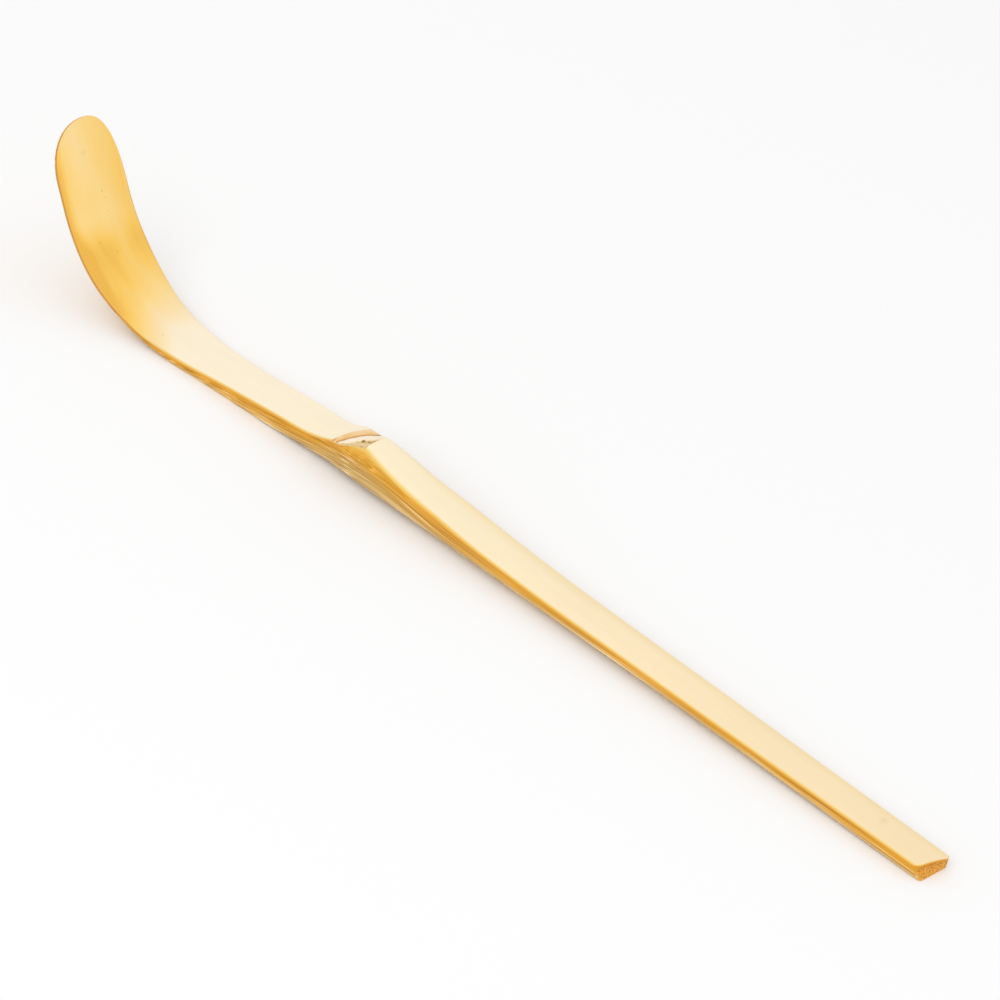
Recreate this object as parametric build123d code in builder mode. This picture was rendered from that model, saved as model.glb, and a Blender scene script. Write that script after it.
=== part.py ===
import os
from math import cos, radians, sin, sqrt

from build123d import *

# A chashaku: one strip of bamboo, pared, heated and bent into a tea scoop.
# X runs from the cut end of the handle to the tip, Y across the strip, Z up from the table.
# Its pieces are the layers that grow in the stem, on each side of the node and at it.

# Driving dimensions, in millimetres and degrees. Heights are counted from the table,
# and distances along X from the node, where the rind of the handle ends.

# Handle, the lower internode of the stem
handle_length = 104.6
handle_end_height = 2.07
shank_distance = 43.5
shank_height = 3.05
swell_distance = 12.5
swell_height = 4.8
node_height = 6.8
end_rake = 15.0
end_skew = 13.0
end_corner_radius = 0.6

# Node ring: the scar of the fallen sheath, then the ridge above it
scar_length = 3.7
scar_step = 0.25
ridge_length = 1.4
ridge_height = 6.0
ridge_foot = 0.3
ring_depth = 0.9

# Neck and bowl, the upper internode of the stem
neck_slope = 4.4
neck_length = 20.0
belly_distance = 38.1
belly_thickness = 1.5
gentle_radius = 53.5
gentle_turn = 5.9
tight_radius = 23.3
tip_angle = 65.0
tip_length = 12.5
bend_thickness = 1.1
tip_thickness = 0.95
tip_round_length = 8.1

# Back of the strip, arched under the handle and pared flat under the neck
arch_distance = 35.5
arch_height = 1.3
rest_flat_length = 11.0

# Widths across the strip, and the distances where they are measured
end_width = 5.12
node_width = 6.96
waist_distance = 8.5
waist_width = 6.4
neck_distance = 30.5
neck_width = 7.6
flare_distance = 47.5
flare_width = 10.2
bowl_distance = 58.5
bowl_width = 12.1

# Bevels pared along both top edges, dying out in the handle and just past the node
bevel_angle = 45.0
bevel_lift = 0.2
bevel_swell_width = 0.35
bevel_node_width = 1.4
bevel_fall = 6.0
bevel_run_out = 12.0

# Rind and the crown that the round stem leaves across it
rind_thickness = 0.3
handle_crown_radius = 12.0
bowl_crown_radius = 40.0

# Partition of the hollow stem, trimmed flush on the back of the node
partition_thickness = 1.4
partition_depth = 1.2

# Room left around the finished piece by the shapes that trim it
margin = 2.0

# Places along X that follow from the driving dimensions, counted from the cut end
shank_place = handle_length - shank_distance
swell_place = handle_length - swell_distance
arch_place = handle_length - arch_distance
waist_place = handle_length + waist_distance
neck_place = handle_length + neck_distance
belly_place = handle_length + belly_distance
flare_place = handle_length + flare_distance
bowl_place = handle_length + bowl_distance
scar_end = handle_length + scar_length
ridge_end = scar_end + ridge_length
ring_floor = ridge_height - ring_depth
rest_flat_start = belly_place - rest_flat_length
bend_foot_x = belly_place - gentle_radius * sin(radians(neck_slope))
bend_foot_z = belly_thickness + gentle_radius * (1 - cos(radians(neck_slope)))
neck_start_x = bend_foot_x - neck_length * cos(radians(neck_slope))
neck_start_z = bend_foot_z + neck_length * sin(radians(neck_slope))
gentle_end_x = belly_place + gentle_radius * sin(radians(gentle_turn))
tight_end_x = gentle_end_x + tight_radius * (sin(radians(tip_angle)) - sin(radians(gentle_turn)))
reach = tight_end_x + tip_length * cos(radians(tip_angle)) + tip_thickness * sin(radians(tip_angle))
bend_taper = (belly_thickness - bend_thickness) / (1 - cos(radians(tip_angle - gentle_turn)))
end_setback = end_corner_radius * ((1 + sin(radians(end_skew))) / cos(radians(end_skew)) - 1)

# The origin lies on the table, under the middle of the length
end_x = -(end_setback + reach) / 2
side = Plane(origin=(end_x, 0, 0), x_dir=(1, 0, 0), z_dir=(0, -1, 0))
plan = Plane(origin=(end_x, 0, -margin))


def sagitta(radius, half_width):
    return radius - sqrt(radius**2 - half_width**2)


def handle_half_width(place):
    return (end_width + (node_width - end_width) * place / handle_length) / 2


# Side view, drawn flat as place and height: face lines along the top of the crown,
# each carried past the piece by the margin, and the back line from the cut end to the tip
with BuildLine() as handle_line:
    shank_rise = (shank_height - handle_end_height) / shank_place
    shank = Line((-margin, handle_end_height - margin * shank_rise), (shank_place, shank_height))
    swell = TangentArc(shank @ 1, (swell_place, swell_height), tangent=shank % 1)
    node_flare = TangentArc(swell @ 1, (handle_length, node_height), tangent=swell % 1)
    Line(node_flare @ 1, node_flare @ 1 + margin * (node_flare % 1))

with BuildLine() as bowl_line:
    neck = Line((neck_start_x, neck_start_z), (bend_foot_x, bend_foot_z))
    drop = TangentArc(neck @ 0, (ridge_end, ridge_height - ridge_foot), tangent=neck % 0 * -1)
    Line(drop @ 1, drop @ 1 + margin * (drop % 1))
    gentle = JernArc(neck @ 1, neck % 1, gentle_radius, neck_slope + gentle_turn)
    tight = JernArc(gentle @ 1, gentle % 1, tight_radius, tip_angle - gentle_turn)
    tip = Line(tight @ 1, tight @ 1 + (tip_length + margin) * (tight % 1))

with BuildLine() as back_line:
    arch_flat = Line((arch_place, arch_height), (handle_length, arch_height))
    arch = TangentArc(arch_flat @ 0, (0, 0), tangent=arch_flat % 0 * -1)
    arch_lead = Line(arch @ 1, arch @ 1 + margin * (arch % 1))
    waist_middle = ((handle_length + rest_flat_start) / 2, arch_height / 2)
    waist_fall = TangentArc(arch_flat @ 1, waist_middle, tangent=arch_flat % 1)
    waist_rise = TangentArc(waist_fall @ 1, (rest_flat_start, 0), tangent=waist_fall % 1)
    rest_flat = Line(waist_rise @ 1, (belly_place, 0))
    gentle_back = JernArc(rest_flat @ 1, rest_flat % 1, gentle_radius + belly_thickness, gentle_turn)
    tight_back_radius = tight_radius + belly_thickness - bend_taper
    tight_back = JernArc(gentle_back @ 1, gentle_back % 1, tight_back_radius, tip_angle - gentle_turn)
    tip_inward = Vector(sin(radians(tip_angle)), -cos(radians(tip_angle)))
    tip_back = TangentArc(tight_back @ 1, tip @ 1 + tip_thickness * tip_inward, tangent=tight_back % 1)

# Side view of the whole strip, extruded across its width
with BuildPart() as blank:
    with BuildSketch(side):
        with BuildLine():
            add([shank, swell, node_flare, drop, neck, gentle, tight, tip])
            add(back_line.line)
            Line(node_flare @ 1, drop @ 1)
            Line(tip @ 1, tip_back @ 1)
            Line(shank @ 0, arch_lead @ 1)
        make_face()
    extrude(amount=bowl_width, both=True)

# Outline of the strip from above, with its end cut askew and the corners there rounded
with BuildSketch(plan) as outline:
    with BuildLine():
        handle_lead = Line((-margin, 0), (-margin, handle_half_width(-margin)))
        handle_side = Line(handle_lead @ 1, (handle_length, node_width / 2))
        bowl_side = Spline(
            handle_side @ 1,
            (waist_place, waist_width / 2),
            (neck_place, neck_width / 2),
            (flare_place, flare_width / 2),
            (bowl_place, bowl_width / 2),
            tangents=[handle_side % 1, (1, 0)],
        )
        Polyline(bowl_side @ 1, (reach + margin, bowl_width / 2), (reach + margin, 0))
        mirror(about=Plane.XZ)
    make_face()
    with Locations(Location((0, -end_width / 2, 0), (0, 0, -end_skew))):
        Rectangle(handle_length, handle_length, align=(Align.MAX, Align.CENTER), mode=Mode.SUBTRACT)
    end_corners = outline.vertices().sort_by(Axis.X)[:2]
    fillet(end_corners, radius=end_corner_radius)

# Round end of the bowl, cut square to its face
tip_direction = Vector(cos(radians(tip_angle)), 0, sin(radians(tip_angle)))
tip_plane = Plane(
    origin=side.from_local_coords(tip @ 0), x_dir=tip_direction, z_dir=tip_direction.cross(Vector(0, 1, 0))
)
with BuildSketch(tip_plane) as tip_outline:
    with Locations((tip_length - tip_round_length, 0)):
        Rectangle(reach, bowl_width, align=(Align.MAX, Align.CENTER))
        Ellipse(tip_round_length, bowl_width / 2)

# Bevels: the sketch plane holds X and the direction square to the bevel
bevel_rise = sin(radians(bevel_angle))
bevel_lean = cos(radians(bevel_angle))
bevel_plane = Plane(origin=(end_x, 0, 0), x_dir=(1, 0, 0), z_dir=(0, -bevel_lean, bevel_rise))


def bevel_point(place, height, inset):
    half_width = handle_half_width(place) - inset
    edge_height = height - sagitta(handle_crown_radius, half_width)
    return (place, half_width * bevel_rise + edge_height * bevel_lean)


with BuildPart() as bevels:
    with BuildSketch(bevel_plane):
        with BuildLine():
            bevel_cut = ThreePointArc(
                bevel_point(shank_place, shank_height + bevel_lift, 0),
                bevel_point(swell_place, swell_height, bevel_swell_width),
                bevel_point(handle_length, node_height, bevel_node_width),
            )
            run_out = PolarLine(bevel_cut @ 1, bevel_run_out, -bevel_fall)
            roof = node_height + node_width
            Polyline(run_out @ 1, ((run_out @ 1).X, roof), (shank_place, roof), bevel_cut @ 0)
        make_face()
    extrude(amount=roof, both=True)
    mirror(about=Plane.XZ)

# All that the strip may fill, seen from above, along the tip and along the bevels
with BuildPart() as envelope:
    extrude(outline.sketch, amount=reach)
    extrude(tip_outline.sketch, amount=reach, both=True, mode=Mode.INTERSECT)
    add(bevels.part, mode=Mode.SUBTRACT)
    across_cut = Vector(sin(radians(end_skew)), cos(radians(end_skew)), 0)
    up_cut = Vector(sin(radians(end_rake)), 0, cos(radians(end_rake)))
    rake_plane = Plane(origin=(end_x, -end_width / 2, 0), x_dir=across_cut, z_dir=across_cut.cross(up_cut))
    split(bisect_by=rake_plane, keep=Keep.TOP)


def space_above(line, crown_radius, depth, half_width):
    # All that lies over the crown along a face line, or over a surface at some depth below it
    path = side.from_local_coords(line.wire())
    radius = crown_radius - depth
    with BuildPart() as space:
        with BuildSketch(Plane(origin=path @ 0, x_dir=(0, 1, 0), z_dir=path % 0)):
            with BuildLine():
                edge_height = -depth - sagitta(radius, half_width)
                crown = ThreePointArc((-half_width, edge_height), (0, -depth), (half_width, edge_height))
                Polyline(crown @ 1, (half_width, margin), (-half_width, margin), crown @ 0)
            make_face()
        sweep(path=path)
    return space.part


handle_reach = node_width / 2 + margin
bowl_reach = bowl_width / 2 + margin
over_handle = space_above(handle_line, handle_crown_radius, 0, handle_reach)
over_handle_flesh = space_above(handle_line, handle_crown_radius, rind_thickness, handle_reach)
over_bowl = space_above(bowl_line, bowl_crown_radius, 0, bowl_reach)
over_bowl_flesh = space_above(bowl_line, bowl_crown_radius, rind_thickness, bowl_reach)
node_start = Plane(origin=(end_x + handle_length, 0, 0), z_dir=(1, 0, 0))
node_middle = Plane(origin=(end_x + scar_end, 0, 0), z_dir=(1, 0, 0))
neck_start = Plane(origin=(end_x + ridge_end, 0, 0), z_dir=(1, 0, 0))

# Rind of the handle, up to the node
with BuildPart() as handle_rind:
    add(over_handle_flesh)
    add(over_handle, mode=Mode.SUBTRACT)
    add(envelope.part, mode=Mode.INTERSECT)
    split(bisect_by=node_start, keep=Keep.BOTTOM)
handle_rind.part.label = "handle_rind"

# Rind of the neck and bowl, from the node to the tip
with BuildPart() as bowl_rind:
    add(over_bowl_flesh)
    add(over_bowl, mode=Mode.SUBTRACT)
    add(envelope.part, mode=Mode.INTERSECT)
    split(bisect_by=neck_start, keep=Keep.TOP)
bowl_rind.part.label = "bowl_rind"

# The node ring is turned about the axis of the round stem, which the handle's crown shares
stem_axis = Axis((end_x, 0, node_height - handle_crown_radius), (1, 0, 0))

# Pale scar of the fallen sheath, a step below the handle's rind
with BuildPart() as sheath_scar:
    with BuildSketch(side):
        Polygon(
            (handle_length, ring_floor),
            (handle_length, node_height - scar_step),
            (scar_end, ridge_height - ridge_foot),
            (scar_end, ring_floor),
            align=None,
        )
    revolve(axis=stem_axis)
    add(envelope.part, mode=Mode.INTERSECT)
sheath_scar.part.label = "sheath_scar"

# Round ridge above the scar
with BuildPart() as node_ridge:
    with BuildSketch(side):
        with BuildLine():
            crest = ThreePointArc(
                (scar_end, ridge_height - ridge_foot),
                ((scar_end + ridge_end) / 2, ridge_height),
                (ridge_end, ridge_height - ridge_foot),
            )
            Polyline(crest @ 1, (ridge_end, ring_floor), (scar_end, ring_floor), crest @ 0)
        make_face()
    revolve(axis=stem_axis)
    add(envelope.part, mode=Mode.INTERSECT)
node_ridge.part.label = "node_ridge"

# Stub of the partition that closed the hollow stem at the node
with BuildPart() as partition_space:
    with BuildSketch(side):
        with Locations((scar_end, arch_height + partition_depth)):
            Rectangle(partition_thickness, partition_depth + margin, align=(Align.MIN, Align.MAX))
    extrude(amount=bowl_width, both=True)

with BuildPart() as node_partition:
    add(partition_space.part)
    add(blank.part, mode=Mode.INTERSECT)
    add(envelope.part, mode=Mode.INTERSECT)
node_partition.part.label = "node_partition"

# Flesh: the whole strip less its rind, its node ring and its partition
with BuildPart() as ring_space:
    with BuildSketch(side):
        with Locations((handle_length, ring_floor)):
            Rectangle(ridge_end - handle_length, node_height, align=Align.MIN)
    revolve(axis=stem_axis)

with BuildPart() as flesh:
    add(blank.part)
    add(envelope.part, mode=Mode.INTERSECT)
    add(over_handle_flesh, mode=Mode.SUBTRACT)
    add(over_bowl_flesh, mode=Mode.SUBTRACT)
    add(ring_space.part, mode=Mode.SUBTRACT)
    add(partition_space.part, mode=Mode.SUBTRACT)

# Flesh of the handle, up to the middle of the node
with BuildPart() as handle_flesh:
    add(flesh.part)
    split(bisect_by=node_middle, keep=Keep.BOTTOM)
handle_flesh.part.label = "handle_flesh"

# Flesh of the neck and bowl, from the partition to the tip
with BuildPart() as bowl_flesh:
    add(flesh.part)
    split(bisect_by=node_middle, keep=Keep.TOP)
bowl_flesh.part.label = "bowl_flesh"

pieces = (handle_rind, bowl_rind, sheath_scar, node_ridge, node_partition, handle_flesh, bowl_flesh)
os.makedirs("parts", exist_ok=True)
for piece in pieces:
    export_step(piece.part, f"parts/{piece.part.label}.step")
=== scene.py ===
from math import atan2, cos, exp, hypot, pi, radians, sin, sqrt

import bmesh
import bpy
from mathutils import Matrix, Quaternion, Vector, noise


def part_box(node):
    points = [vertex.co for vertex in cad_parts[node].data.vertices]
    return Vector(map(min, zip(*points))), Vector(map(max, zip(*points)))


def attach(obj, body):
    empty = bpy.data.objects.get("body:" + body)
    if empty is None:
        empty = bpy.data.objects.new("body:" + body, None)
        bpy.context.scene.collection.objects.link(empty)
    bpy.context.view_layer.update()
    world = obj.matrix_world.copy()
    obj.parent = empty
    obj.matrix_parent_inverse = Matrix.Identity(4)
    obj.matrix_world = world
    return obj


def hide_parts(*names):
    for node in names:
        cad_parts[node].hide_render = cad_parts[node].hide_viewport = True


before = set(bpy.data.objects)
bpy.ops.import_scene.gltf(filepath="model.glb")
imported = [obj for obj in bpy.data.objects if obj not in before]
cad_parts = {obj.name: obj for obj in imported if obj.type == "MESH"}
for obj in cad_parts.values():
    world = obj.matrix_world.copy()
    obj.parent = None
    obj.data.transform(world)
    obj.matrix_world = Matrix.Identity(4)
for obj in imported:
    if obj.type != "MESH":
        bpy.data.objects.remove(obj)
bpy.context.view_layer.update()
mm = 0.001
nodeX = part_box("handle_rind")[1].x  # where the handle's rind ends, at the node
print("frame loaded:", ", ".join(sorted(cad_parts)))

# The strip, in millimetres along it from the node and up from the table, and in degrees. +Y is its near side
strip = {
    # side view of the face, from the cut end to the tip
    "handleLength": 104.6,
    "endHeight": 2.07,
    "shankPlace": -43.5,
    "shankHeight": 3.05,
    "swellPlace": -12.5,
    "swellHeight": 4.8,
    "nodeHeight": 6.8,
    "ridgePlace": 5.1,
    "ridgeHeight": 5.7,
    "neckSlope": 4.4,
    "neckLength": 20.0,
    "bellyPlace": 38.1,
    "gentleRadius": 53.5,
    "gentleTurn": 5.9,
    "tightRadius": 23.3,
    "tipAngle": 65.0,
    "tipLength": 12.42,
    # round tip: its reach on each side with the power that squares it, and its lean
    "tipNear": (8.6, 2.15),
    "tipFar": (12.5, 2.6),
    "tipLean": 0.4,
    "tipLeanFade": 3,
    # thickness, and the arch of the back
    "bellyThickness": 1.5,
    "bendThickness": 1.1,
    "tipThickness": 0.95,
    "archPlace": -35.5,
    "archHeight": 1.3,
    "restStart": 27.4,
    "rind": 0.3,
    # cut end: setback and skew of its two edges, and the corner radius at the back, its growth and its skew
    "endLow": (0.85, 0.05),
    "endTop": (1.2, 0.35),
    "endCorner": (0.45, 0.55, 0.2),
    # crown of the face, half widths, and how far the far side swells or narrows by the node
    "handleCrown": 12.0,
    "bowlCrown": 40.0,
    "crownChange": (4.5, 16.5),
    "endHalfWidth": 2.56,
    "nodeHalfWidth": 3.48,
    "bowlHalfWidths": ((8.5, 3.2), (30.5, 3.8), (47.5, 5.1), (58.5, 6.03)),
    "farSwell": (
        (-8.0, 0.0),
        (-1.0, 0.25),
        (3.0, -0.24),
        (5.8, -0.6),
        (9.5, 0.08),
        (13.0, 0.36),
        (20.0, 0.25),
        (28.0, 0.0),
    ),
    # bevels, rounded edges, and the pared back of the bowl
    "bevelStart": -31.5,
    "bevelEnd": (0.4, 5.6),
    "bevelWidth": 1.8,
    "bevelGrowth": 2.7,
    "topRound": 0.2,
    "backRound": 0.1,
    "bowlEdge": 0.42,
    "bowlPare": 2.6,
    "bowlPareChange": (-4.0, 14.0),  # counted from the belly
}


# The face line is a list of straight and round stretches, each tangent to the last unless turned
def along(line, s):
    stretch = line[0]
    for candidate in line:
        if candidate["s"] <= s:
            stretch = candidate
    run = s - stretch["s"]
    heading = stretch["heading"]
    bend = stretch["bend"]
    if abs(bend) < 1e-9:  # straight
        return stretch["x"] + run * cos(heading), stretch["z"] + run * sin(heading), heading
    turned = heading + bend * run
    x = stretch["x"] + (sin(turned) - sin(heading)) / bend
    z = stretch["z"] + (cos(heading) - cos(turned)) / bend
    return x, z, turned


def lengthOf(line):
    return line[-1]["s"] + line[-1]["length"]


def carryOn(line, length, bend=0.0, heading=None):
    x, z, tangent = along(line, lengthOf(line))
    turned = tangent if heading is None else heading
    line.append({"s": lengthOf(line), "x": x, "z": z, "heading": turned, "bend": bend, "length": length})


def arcTo(line, x, z, heading=None):
    startX, startZ, tangent = along(line, lengthOf(line))
    turned = tangent if heading is None else heading
    chord = hypot(x - startX, z - startZ)
    half = atan2(z - startZ, x - startX) - turned
    bend = 2 * sin(half) / chord
    carryOn(line, 2 * half / bend, bend, turned)


endX = -strip["handleLength"]
shankRise = strip["shankHeight"] - strip["endHeight"]
shankHeading = atan2(shankRise, strip["shankPlace"] - endX)
faceStart = {"s": 0.0, "x": endX, "z": strip["endHeight"], "heading": shankHeading}
faceLine = [{**faceStart, "bend": 0.0, "length": 0.0}]
carryOn(faceLine, hypot(strip["shankPlace"] - endX, shankRise))
arcTo(faceLine, strip["swellPlace"], strip["swellHeight"])
arcTo(faceLine, 0.0, strip["nodeHeight"])
nodeAlong = lengthOf(faceLine)
ringRise = strip["ridgeHeight"] - strip["nodeHeight"]
carryOn(faceLine, hypot(strip["ridgePlace"], ringRise), heading=atan2(ringRise, strip["ridgePlace"]))
ridgeAlong = lengthOf(faceLine)
slope = radians(strip["neckSlope"])
footX = strip["bellyPlace"] - strip["gentleRadius"] * sin(slope)
footZ = strip["bellyThickness"] + strip["gentleRadius"] * (1 - cos(slope))
neckX = footX - strip["neckLength"] * cos(slope)
neckZ = footZ + strip["neckLength"] * sin(slope)
dropChord = atan2(neckZ - strip["ridgeHeight"], neckX - strip["ridgePlace"])
arcTo(faceLine, neckX, neckZ, heading=2 * dropChord + slope)
carryOn(faceLine, strip["neckLength"])
gentleTurn = radians(strip["gentleTurn"])
carryOn(faceLine, strip["gentleRadius"] * (slope + gentleTurn), 1 / strip["gentleRadius"])
tightTurn = radians(strip["tipAngle"]) - gentleTurn
tightAlong = lengthOf(faceLine)
carryOn(faceLine, strip["tightRadius"] * tightTurn, 1 / strip["tightRadius"])
bendEndAlong = lengthOf(faceLine)
carryOn(faceLine, strip["tipLength"])
tipAlong = lengthOf(faceLine)
bellyAlong = tightAlong - strip["gentleRadius"] * gentleTurn
print("face line: node at %.1f mm, tip at %.1f mm along the strip" % (nodeAlong, tipAlong))


def blendStep(low, high, value):
    share = min(1.0, max(0.0, (value - low) / (high - low)))
    return share * share * (3 - 2 * share)


def smoothThrough(points, x):
    # a smooth curve through a few points, level at its last one
    if x <= points[0][0]:
        return points[0][1]
    if x >= points[-1][0]:
        return points[-1][1]
    slopes = [(points[1][1] - points[0][1]) / (points[1][0] - points[0][0])]
    for before, after in zip(points, points[2:]):
        slopes.append((after[1] - before[1]) / (after[0] - before[0]))
    slopes.append(0.0)
    for i in range(len(points) - 1):
        x0, y0 = points[i]
        x1, y1 = points[i + 1]
        if x <= x1:
            span = x1 - x0
            k = (x - x0) / span
            rise = y0 * (1 + 2 * k) * (1 - k) ** 2 + y1 * k * k * (3 - 2 * k)
            return rise + span * (slopes[i] * k * (1 - k) ** 2 - slopes[i + 1] * k * k * (1 - k))


def halfWidth(x):
    if x < 0:
        taper = strip["nodeHalfWidth"] - strip["endHalfWidth"]
        return strip["nodeHalfWidth"] + taper * x / strip["handleLength"]
    return smoothThrough(((0.0, strip["nodeHalfWidth"]), *strip["bowlHalfWidths"]), x)


def crownDrop(x, y):
    change = blendStep(*strip["crownChange"], x)
    bend = (1 - change) / strip["handleCrown"] + change / strip["bowlCrown"]
    return (1 - sqrt(1 - (bend * y) ** 2)) / bend


def backHeight(x):
    # an arc up from the cut end, a level stretch, and an even double curve down to the belly
    if x < strip["archPlace"]:
        run = strip["archPlace"] - endX
        radius = (run**2 + strip["archHeight"] ** 2) / (2 * strip["archHeight"])
        return strip["archHeight"] - radius + sqrt(radius**2 - (strip["archPlace"] - x) ** 2)
    share = min(1.0, max(0.0, x / strip["restStart"]))
    if share < 0.5:
        return strip["archHeight"] * (1 - 2 * share**2)
    return strip["archHeight"] * 2 * (1 - share) ** 2


def thickness(s):
    x, z, _ = along(faceLine, s)
    if s < bellyAlong:
        return z - backHeight(x)
    thin = strip["bellyThickness"] - strip["bendThickness"]
    if s < bendEndAlong:
        turned = max(0.0, (s - tightAlong) / strip["tightRadius"])
        return strip["bellyThickness"] - thin * (1 - cos(turned)) / (1 - cos(tightTurn))
    share = (s - bendEndAlong) / (tipAlong - bendEndAlong)
    return strip["bendThickness"] + (strip["tipThickness"] - strip["bendThickness"]) * share


def bevelAt(x):
    # how far the bevel reaches in from the side, and how deep it is there
    if x <= strip["bevelStart"] or x >= strip["bevelEnd"][1]:
        return 0.0, 0.0
    if x < 0:
        inset = strip["bevelWidth"] * (1 - x / strip["bevelStart"]) ** strip["bevelGrowth"]
    else:
        inset = strip["bevelWidth"] * (1 - blendStep(*strip["bevelEnd"], x))
    side = halfWidth(x)
    return inset, inset - crownDrop(x, side) + crownDrop(x, side - inset)


def sideAt(s, depth):
    # half the width of the pared strip at a depth under its face
    x, _, _ = along(faceLine, s)
    inset, drop = bevelAt(x)
    side = halfWidth(x)
    bottom = thickness(s) - crownDrop(x, side)
    pareStart, pareFull = strip["bowlPareChange"]
    bowl = blendStep(bellyAlong + pareStart, bellyAlong + pareFull, s)
    rise = strip["backRound"] + bowl * (bottom - strip["bowlEdge"] - strip["backRound"])
    inward = strip["backRound"] + bowl * (strip["bowlPare"] - strip["backRound"])
    pared = 0.0
    if inset and depth < drop:
        pared += inset * (1 - depth / drop)
    if depth < strip["topRound"]:
        pared += strip["topRound"] - sqrt(strip["topRound"] ** 2 - (strip["topRound"] - max(0.0, depth)) ** 2)
    if bottom - depth < rise:
        pared += inward * (1 - sqrt(max(0.0, 1 - ((rise - bottom + depth) / rise) ** 2)))
    return side - pared


def bentPlace(s, y, depth):
    # a place in the bent strip, from its place in the straight one
    x, z, heading = along(faceLine, s)
    lean = heading if s > bellyAlong else 0.0
    sunk = depth + crownDrop(x, y)
    return Vector((nodeX + (x + sunk * sin(lean)) * mm, y * mm, (z - sunk * cos(lean)) * mm))


def cutEdge(t, depth):
    # the cut end: nearly square along its lower edge, askew along its upper one, with round corners
    side = strip["endHalfWidth"]
    share = max(0.0, strip["endHeight"] - crownDrop(endX, t * side) - depth) / strip["endHeight"]
    backRadius, growth, skew = strip["endCorner"]
    radius = backRadius + share * (growth + skew * t)
    corner = max(0.0, abs(t) * side - side + radius)
    setback = radius - sqrt(max(0.0, radius**2 - corner**2))
    low = strip["endLow"][0] + strip["endLow"][1] * t * side
    top = strip["endTop"][0] + strip["endTop"][1] * t * side
    return low + (top - low) * share + setback


def tipEdge(t, depth):
    # the round tip, squarer on its near side and pared thin from the back
    reach, power = strip["tipNear"] if t > 0 else strip["tipFar"]
    across = max(0.0, 1 - abs(t) ** power) ** (1 / power)
    end = tipAlong - reach * (1 - across) - strip["tipLean"] * t * across ** strip["tipLeanFade"]
    over = max(0.0, depth - strip["bowlEdge"]) / (strip["tipThickness"] - strip["bowlEdge"])
    return end - strip["bowlPare"] * (1 - sqrt(max(0.0, 1 - over * over)))


# What each piece keeps for its material, in millimetres along the strip, shares of its half width and degrees
grainLay = {
    "levelSteps": (-9.0, -6.0, -3.0, 0.0, 3.0, 6.0, 9.0),  # the face is levelled over these for its fibres
    "levelEnd": (-16.0, -8.0),  # counted from the belly
    "goldDepth": 0.06,
    "goldStart": 0.9,
    "goldEnd": 10.0,  # counted from the belly
    "endReach": 10.0,
    "endFacing": (0.45, 0.85),
    "crease": 38.0,
}


def fibreDepth(s, depth):
    # counted from a gentler line than the face, so that the fibres sweep past the node without a kink
    steps = grainLay["levelSteps"]
    gentle = sum(along(faceLine, s + step)[1] for step in steps) / len(steps)
    fadeStart, fadeEnd = grainLay["levelEnd"]
    share = 1 - blendStep(bellyAlong + fadeStart, bellyAlong + fadeEnd, s)
    return depth + share * (gentle - along(faceLine, s)[1])


def goldenDepth(s, t):
    # the near edge of the handle and neck is golden a little way in
    handle = 1 - blendStep(bellyAlong, bellyAlong + grainLay["goldEnd"], s)
    return grainLay["goldDepth"] * blendStep(grainLay["goldStart"], 1.0, t) * handle


def subdividedBlock(cuts):
    bm = bmesh.new()
    bmesh.ops.create_cube(bm, size=2)
    for axis in range(3):
        runs = [e for e in bm.edges if abs(e.verts[0].co[axis] - e.verts[1].co[axis]) > 1]
        bmesh.ops.subdivide_edges(bm, edges=runs, cuts=cuts[axis], use_grid_fill=True)
    return bm


def shapePiece(name, piece, pare, material):
    # pares a block to its place in the straight strip, keeps that place as its grain, and bends it
    bm = subdividedBlock(piece["cuts"])
    grain = bm.verts.layers.float_vector.new("grain")
    layer = bm.verts.layers.float.new("layer")
    tone = bm.verts.layers.float.new("tone")
    inner = bm.verts.layers.float.new("inner")
    pared = bm.verts.layers.float.new("pared")
    for vert in bm.verts:
        u = (vert.co.x + 1) / 2
        t = sin(vert.co.y * pi / 2)
        f = (1 - vert.co.z) / 2
        s, y, depth, shade = pare(u, t, f)
        vert[grain] = (s, y, depth)
        x, _, _ = along(faceLine, s)
        # the far side swells and narrows by the node, and its fibres with it
        if t < 0:
            y += t * smoothThrough(strip["farSwell"], x)
        vert[layer] = fibreDepth(s, depth)
        vert[tone] = shade
        vert[inner] = depth / (thickness(s) - crownDrop(x, y))
        vert[pared] = (max(0.0, depth) + goldenDepth(s, t)) / max(strip["topRound"], bevelAt(x)[1])
        vert.co = bentPlace(s, y, depth)
    bmesh.ops.recalc_face_normals(bm, faces=bm.faces)
    # how squarely the cut end of the handle crosses the fibres
    cross = bm.verts.layers.float.new("cross")
    for face in bm.faces:
        face.smooth = True
        for vert in face.verts:
            if vert[grain].x < grainLay["endReach"]:
                vert[cross] = max(vert[cross], blendStep(*grainLay["endFacing"], abs(face.normal.x)))
    for edge in bm.edges:
        edge.smooth = edge.calc_face_angle(0.0) < radians(grainLay["crease"])
    mesh = bpy.data.meshes.new(name)
    bm.to_mesh(mesh)
    bm.free()
    mesh.materials.append(material)
    shaped = bpy.data.objects.new(name, mesh)
    bpy.context.scene.collection.objects.link(shaped)
    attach(shaped, "root")
    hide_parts(piece["node"])
    print("shaped", name, "with", len(mesh.polygons), "faces")


def hexColour(code):
    channels = [int(code[i:i + 2], 16) / 255 for i in (1, 3, 5)]
    linear = [c / 12.92 if c <= 0.04045 else ((c + 0.055) / 1.055) ** 2.4 for c in channels]
    return (*linear, 1.0)


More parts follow.
